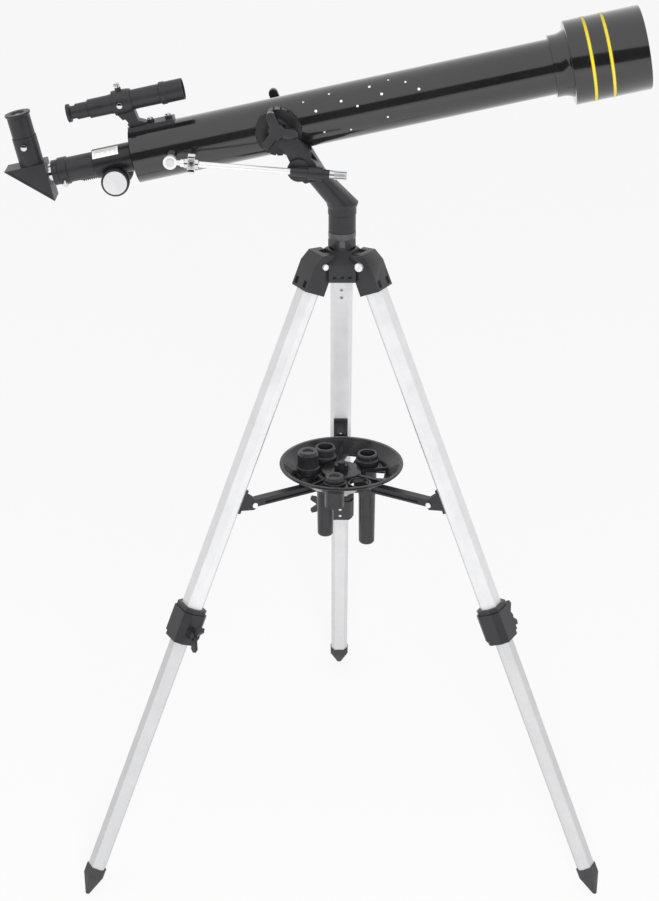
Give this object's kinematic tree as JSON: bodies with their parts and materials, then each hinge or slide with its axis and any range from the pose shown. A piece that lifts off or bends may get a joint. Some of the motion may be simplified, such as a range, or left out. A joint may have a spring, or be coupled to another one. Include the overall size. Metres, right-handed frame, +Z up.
{
  "type": "telescope on tripod",
  "caption": "Small refracting telescope on a fork mount and a folding three-leg tripod with an accessory tray, star diagonal, finder and slow motion rod.",
  "frame": {"origin": "floor point under the azimuth axis, midway between the three feet", "axes": "+Z up, +X the way the tube points at rest, -Y the side of the focus knob and slow motion rod"},
  "size_m": [0.763, 0.5877, 1.1171],
  "materials": {
    "black_plastic": "satin",
    "tray_plastic": "gloss",
    "boot_rubber": "matte",
    "leg_aluminium": "satin anodised",
    "post_steel": "satin",
    "bolt_steel": "satin",
    "chrome": "polished",
    "swivel_black": "satin",
    "tube_gloss": "gloss black enamel",
    "lens_glass": "polished",
    "knob_silver": "satin",
    "barrel_black": "satin",
    "mirror": "polished"
  },
  "bodies": {
    "base": {"hub": "black_plastic", "column_post": "post_steel", "leg_pivot_bolts": "bolt_steel"},
    "leg_back": {"leg_top_back": "black_plastic", "leg_upper_back": "leg_aluminium", "leg_clamp_back": "black_plastic", "brace_hinge_back": "black_plastic"},
    "lower_leg_back": {"leg_lower_back": "leg_aluminium", "foot_back": "boot_rubber"},
    "wing_screw_back": {"leg_screw_back": "black_plastic"},
    "brace_back": {"brace_back": "black_plastic"},
    "leg_left": {"leg_top_left": "black_plastic", "leg_upper_left": "leg_aluminium", "leg_clamp_left": "black_plastic", "brace_hinge_left": "black_plastic"},
    "lower_leg_left": {"leg_lower_left": "leg_aluminium", "foot_left": "boot_rubber"},
    "wing_screw_left": {"leg_screw_left": "black_plastic"},
    "brace_left": {"brace_left": "black_plastic"},
    "leg_right": {"leg_top_right": "black_plastic", "leg_upper_right": "leg_aluminium", "leg_clamp_right": "black_plastic", "brace_hinge_right": "black_plastic"},
    "lower_leg_right": {"leg_lower_right": "leg_aluminium", "foot_right": "boot_rubber"},
    "wing_screw_right": {"leg_screw_right": "black_plastic"},
    "brace_right": {"brace_right": "black_plastic"},
    "tray": {"tray": "tray_plastic", "tray_knob": "tray_plastic"},
    "spare_eyepiece_low": {"spare_eyepiece_low": "barrel_black"},
    "spare_eyepiece_high": {"spare_eyepiece_high": "barrel_black"},
    "erecting_eyepiece": {"erecting_eyepiece": "barrel_black"},
    "barlow_lens": {"barlow_lens": "barrel_black"},
    "yoke": {"fork": "black_plastic"},
    "telescope": {"main_tube": "tube_gloss", "saddle": "black_plastic", "lens_cell": "tube_gloss", "objective_lens": "lens_glass", "focuser_housing": "black_plastic", "finder_bracket": "black_plastic", "finder_screws": "chrome", "finder_scope": "black_plastic", "rod_eye_bolt": "chrome"},
    "knob_near": {"altitude_knob_near": "black_plastic"},
    "knob_far": {"altitude_knob_far": "black_plastic"},
    "rod": {"slow_motion_rod": "chrome"},
    "wheel": {"thumbwheel": "chrome"},
    "swivel": {"swivel": "swivel_black"},
    "clamp_nut": {"rod_clamp_nut": "chrome"},
    "drawtube": {"drawtube": "black_plastic"},
    "pinion": {"focus_shaft": "bolt_steel", "focus_knobs": "knob_silver"},
    "drawtube_screw": {"drawtube_screw": "chrome"},
    "diagonal": {"star_diagonal": "black_plastic", "diagonal_mirror": "mirror"},
    "eyepiece": {"eyepiece": "black_plastic"},
    "diagonal_screw": {"diagonal_screw": "chrome"},
    "finder_ocular": {"finder_eyepiece": "black_plastic"},
    "dew_shield": {"dew_shield": "tube_gloss"}
  },
  "joints": [
    {"name": "leg_fold_back", "type": "hinge", "parent": "base", "child": "leg_back", "pos_m": [0, 0.034, 0.811], "axis": [-1, 0, 0], "range_deg": [0, 7]},
    {"name": "brace_fold_back", "type": "hinge", "parent": "leg_back", "child": "brace_back", "pos_m": [0, 0.1312, 0.5104], "axis": [-1, 0, 0], "range_deg": [0, 44.6]},
    {"name": "leg_extend_back", "type": "slide", "parent": "leg_back", "child": "lower_leg_back", "axis": [0, 0.3988, -0.917], "range_m": [-0.3, 0]},
    {"name": "wing_screw_turn_back", "type": "hinge", "parent": "leg_back", "child": "wing_screw_back", "pos_m": [0, 0.23042, 0.35936], "axis": [-1, 0, 0], "continuous": true},
    {"name": "leg_fold_left", "type": "hinge", "parent": "base", "child": "leg_left", "pos_m": [-0.02944, -0.017, 0.811], "axis": [0.5, -0.866, 0], "range_deg": [0, 7.01]},
    {"name": "brace_fold_left", "type": "hinge", "parent": "leg_left", "child": "brace_left", "pos_m": [-0.11362, -0.0656, 0.5104], "axis": [0.5, -0.866, 0], "range_deg": [0, 44.6]},
    {"name": "leg_extend_left", "type": "slide", "parent": "leg_left", "child": "lower_leg_left", "axis": [-0.3454, -0.1994, -0.917], "range_m": [-0.3, 0]},
    {"name": "wing_screw_turn_left", "type": "hinge", "parent": "leg_left", "child": "wing_screw_left", "pos_m": [-0.19955, -0.11521, 0.35936], "axis": [0.5, -0.866, 0], "continuous": true},
    {"name": "leg_fold_right", "type": "hinge", "parent": "base", "child": "leg_right", "pos_m": [0.02944, -0.017, 0.811], "axis": [0.5, 0.866, 0], "range_deg": [0, 7.01]},
    {"name": "brace_fold_right", "type": "hinge", "parent": "leg_right", "child": "brace_right", "pos_m": [0.11362, -0.0656, 0.5104], "axis": [0.5, 0.866, 0], "range_deg": [0, 44.6]},
    {"name": "leg_extend_right", "type": "slide", "parent": "leg_right", "child": "lower_leg_right", "axis": [0.3454, -0.1994, -0.917], "range_m": [-0.3, 0]},
    {"name": "wing_screw_turn_right", "type": "hinge", "parent": "leg_right", "child": "wing_screw_right", "pos_m": [0.19955, -0.11521, 0.35936], "axis": [0.5, 0.866, 0], "continuous": true},
    {"name": "tray_lift", "type": "slide", "parent": "base", "child": "tray", "axis": [0, 0, 1], "range_m": [0, 0.0726]},
    {"name": "spare_eyepiece_low_lift", "type": "slide", "parent": "tray", "child": "spare_eyepiece_low", "axis": [0, 0, 1], "range_m": [0, 0.05]},
    {"name": "spare_eyepiece_high_lift", "type": "slide", "parent": "tray", "child": "spare_eyepiece_high", "axis": [0, 0, 1], "range_m": [0, 0.05]},
    {"name": "erecting_eyepiece_lift", "type": "slide", "parent": "tray", "child": "erecting_eyepiece", "axis": [0, 0, 1], "range_m": [0, 0.05]},
    {"name": "barlow_lens_lift", "type": "slide", "parent": "tray", "child": "barlow_lens", "axis": [0, 0, 1], "range_m": [0, 0.05]},
    {"name": "azimuth", "type": "hinge", "parent": "base", "child": "yoke", "pos_m": [0, 0, 0.85], "axis": [0, 0, 1], "continuous": true},
    {"name": "altitude", "type": "hinge", "parent": "yoke", "child": "telescope", "pos_m": [-0.076, 0, 0.984], "axis": [0, -1, 0], "range_deg": [-15, 45]},
    {"name": "knob_near_turn", "type": "hinge", "parent": "telescope", "child": "knob_near", "pos_m": [-0.076, 0, 0.984], "axis": [0, -1, 0], "continuous": true},
    {"name": "knob_far_turn", "type": "hinge", "parent": "telescope", "child": "knob_far", "pos_m": [-0.076, 0, 0.984], "axis": [0, 1, 0], "continuous": true},
    {"name": "rod_swing", "type": "hinge", "parent": "telescope", "child": "rod", "pos_m": [-0.2004, -0.058, 0.9484], "axis": [0, -1, 0], "range_deg": [-6, 2.5]},
    {"name": "swivel_slide", "type": "slide", "parent": "rod", "child": "swivel", "axis": [0.9968, 0, -0.0796], "range_m": [-0.04, 0.014]},
    {"name": "thumbwheel_turn", "type": "hinge", "parent": "rod", "child": "wheel", "pos_m": [-0.2004, -0.058, 0.9484], "axis": [0.9968, 0, -0.0796], "continuous": true},
    {"name": "clamp_nut_turn", "type": "hinge", "parent": "swivel", "child": "clamp_nut", "pos_m": [-0.2004, -0.058, 0.9484], "axis": [0.9968, 0, -0.0796], "continuous": true},
    {"name": "focus_slide", "type": "slide", "parent": "telescope", "child": "drawtube", "axis": [-0.9774, 0, -0.2113], "range_m": [-0.028, 0.04]},
    {"name": "focus_turn", "type": "hinge", "parent": "telescope", "child": "pinion", "pos_m": [-0.26909, 0, 0.91506], "axis": [0, 1, 0], "range_deg": [-638.6, 447.6]},
    {"name": "drawtube_screw_turn", "type": "hinge", "parent": "drawtube", "child": "drawtube_screw", "pos_m": [-0.3326, 0, 0.92156], "axis": [0.1272, -0.7986, -0.5882], "continuous": true},
    {"name": "diagonal_turn", "type": "hinge", "parent": "drawtube", "child": "diagonal", "pos_m": [-0.35019, 0, 0.91776], "axis": [0.9774, 0, 0.2113], "continuous": true},
    {"name": "eyepiece_lift", "type": "slide", "parent": "diagonal", "child": "eyepiece", "axis": [-0.2113, 0, 0.9774], "range_m": [0, 0.04]},
    {"name": "diagonal_screw_turn", "type": "hinge", "parent": "diagonal", "child": "diagonal_screw", "pos_m": [-0.37596, 0, 0.95414], "axis": [0, -1, 0], "continuous": true},
    {"name": "finder_focus", "type": "slide", "parent": "telescope", "child": "finder_ocular", "axis": [-0.9774, 0, -0.2113], "range_m": [0, 0.006]},
    {"name": "dew_shield_slide", "type": "slide", "parent": "telescope", "child": "dew_shield", "axis": [0.9774, 0, 0.2113], "range_m": [0, 0.05]}
  ],
  "couplings": [
    {"joint": "brace_fold_back", "follows": "leg_fold_back", "ratio": 6.3},
    {"joint": "leg_fold_left", "follows": "leg_fold_back", "ratio": 1},
    {"joint": "brace_fold_left", "follows": "leg_fold_back", "ratio": 6.3},
    {"joint": "leg_fold_right", "follows": "leg_fold_back", "ratio": 1},
    {"joint": "brace_fold_right", "follows": "leg_fold_back", "ratio": 6.3},
    {"joint": "tray_lift", "follows": "leg_fold_back", "m_per_rad": 0.59015},
    {"joint": "rod_swing", "follows": "altitude", "ratio": -0.12388},
    {"joint": "swivel_slide", "follows": "altitude", "m_per_rad": -0.049439},
    {"joint": "focus_turn", "follows": "focus_slide", "rad_per_m": -277.78}
  ]
}
